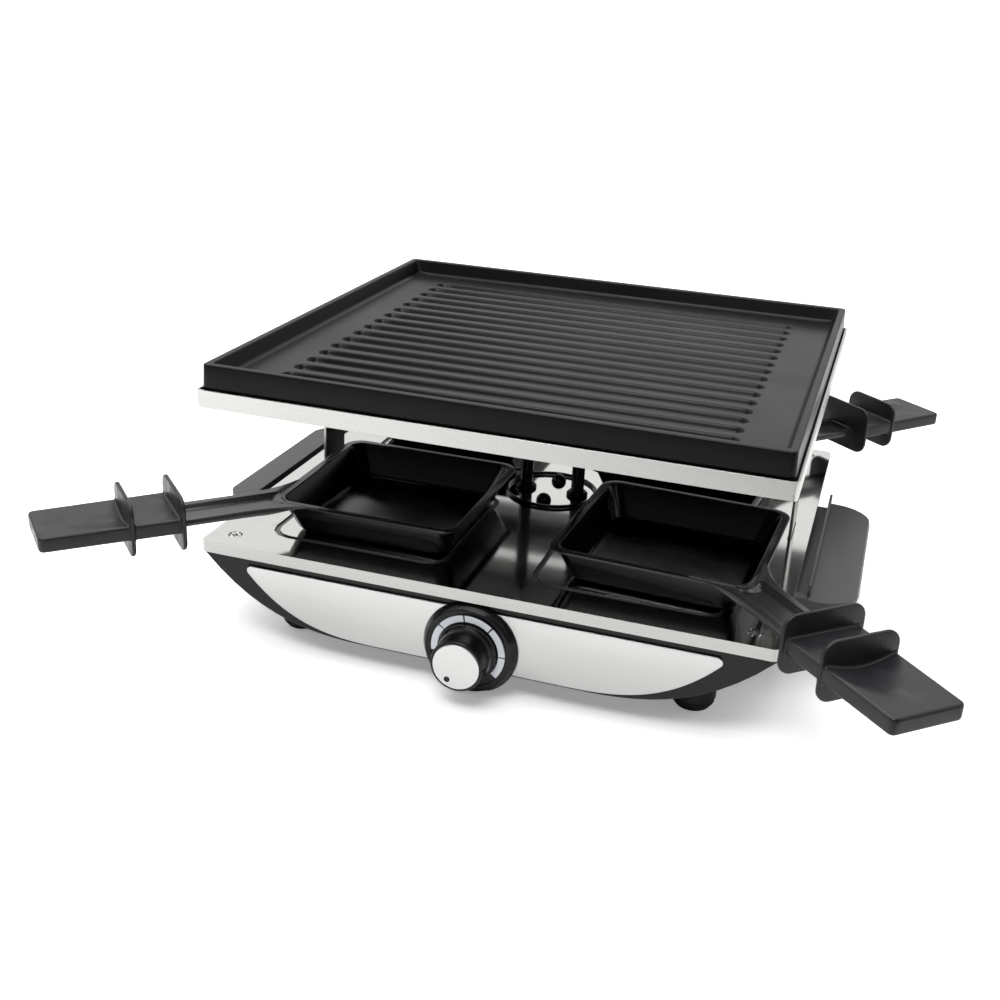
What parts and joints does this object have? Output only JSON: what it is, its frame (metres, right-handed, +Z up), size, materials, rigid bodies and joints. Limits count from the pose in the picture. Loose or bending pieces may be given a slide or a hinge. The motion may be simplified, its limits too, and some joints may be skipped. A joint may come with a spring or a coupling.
{
  "type": "raclette grill",
  "caption": "Table-top raclette grill: ribbed cast plate on a heater housing held by side columns over a round-bellied base, with square corner-handled pans and a temperature knob.",
  "frame": {"origin": "on the table, under the middle of the base and of the whole grill", "axes": "+X to the right seen from the front, +Y towards the rear, +Z up; the knob is on the front at -Y"},
  "size_m": [0.4344, 0.4312, 0.1475],
  "materials": {
    "cast_coating": "dark non-stick coating on cast aluminium, satin",
    "brushed_steel": "bright brushed stainless sheet",
    "mirror_steel": "polished stainless sheet and plated screws",
    "dull_steel": "plain grey steel",
    "pan_coating": "smooth black non-stick coating",
    "black_plastic": "satin black moulded plastic",
    "gloss_plastic": "glossy black moulded plastic",
    "grey_plastic": "dark grey moulded plastic, fine satin",
    "grip_plastic": "charcoal heat-proof plastic, fine satin",
    "dial_print": "pale printed dial scale",
    "wire_sleeving": "woven heat-proof sleeving",
    "silver_cap": "pale silver disc",
    "rubber": "black soft rubber"
  },
  "bodies": {
    "base": {"heater_housing": "brushed_steel", "heating_element": "dull_steel", "element_strap_front": "mirror_steel", "element_strap_rear": "mirror_steel", "leg_sleeve_left": "black_plastic", "leg_sleeve_right": "black_plastic", "leg_grommet_left": "black_plastic", "leg_grommet_right": "black_plastic", "leg_collar": "black_plastic", "side_column_left": "brushed_steel", "side_column_right": "brushed_steel", "column_screw_left": "mirror_steel", "column_screw_right": "mirror_steel", "side_wing_left": "grey_plastic", "side_wing_right": "grey_plastic", "base_top_plate": "mirror_steel", "base_shell": "black_plastic", "bottom_cover": "dull_steel", "front_fascia": "brushed_steel", "rear_fascia": "brushed_steel", "terminal_block": "black_plastic", "cord_gland": "black_plastic", "thermostat_body": "black_plastic", "thermostat_bracket": "dull_steel", "thermostat_wire": "wire_sleeving", "mains_wire": "wire_sleeving", "dome_screw_front": "gloss_plastic", "dome_screw_rear": "gloss_plastic", "bezel": "gloss_plastic", "dial_ring": "dial_print", "cover_screw_1": "dull_steel", "cover_screw_2": "dull_steel", "cover_screw_3": "dull_steel", "cover_screw_4": "dull_steel", "plate_screw_front_left": "mirror_steel", "foot_front_left": "rubber", "plate_screw_front_right": "mirror_steel", "foot_front_right": "rubber", "plate_screw_rear_left": "mirror_steel", "foot_rear_left": "rubber", "plate_screw_rear_right": "mirror_steel", "foot_rear_right": "rubber"},
    "grill_plate": {"grill_plate": "cast_coating"},
    "knob": {"knob_body": "gloss_plastic", "knob_cap": "silver_cap", "knob_shaft": "dull_steel"},
    "pan_front_left": {"pan_tray_front_left": "pan_coating", "pan_grip_front_left": "grip_plastic"},
    "pan_front_right": {"pan_tray_front_right": "pan_coating", "pan_grip_front_right": "grip_plastic"},
    "pan_rear_right": {"pan_tray_rear_right": "pan_coating", "pan_grip_rear_right": "grip_plastic"},
    "pan_rear_left": {"pan_tray_rear_left": "pan_coating", "pan_grip_rear_left": "grip_plastic"}
  },
  "joints": [
    {"name": "knob_turn", "type": "hinge", "parent": "base", "child": "knob", "pos_m": [0, -0.1385, 0.0248], "axis": [0, 1, 0], "range_deg": [0, 300]},
    {"name": "grill_plate_lift", "type": "slide", "parent": "base", "child": "grill_plate", "axis": [0, 0, 1], "range_m": [0, 0.06]},
    {"name": "pan_front_left_pull", "type": "slide", "parent": "base", "child": "pan_front_left", "axis": [-0.7071, -0.7071, 0], "range_m": [0, 0.18]},
    {"name": "pan_front_right_pull", "type": "slide", "parent": "base", "child": "pan_front_right", "axis": [0.6691, -0.7431, 0], "range_m": [0, 0.18]},
    {"name": "pan_rear_right_pull", "type": "slide", "parent": "base", "child": "pan_rear_right", "axis": [0.6691, 0.7431, 0], "range_m": [0, 0.18]},
    {"name": "pan_rear_left_pull", "type": "slide", "parent": "base", "child": "pan_rear_left", "axis": [-0.7071, 0.7071, 0], "range_m": [0, 0.18]}
  ]
}
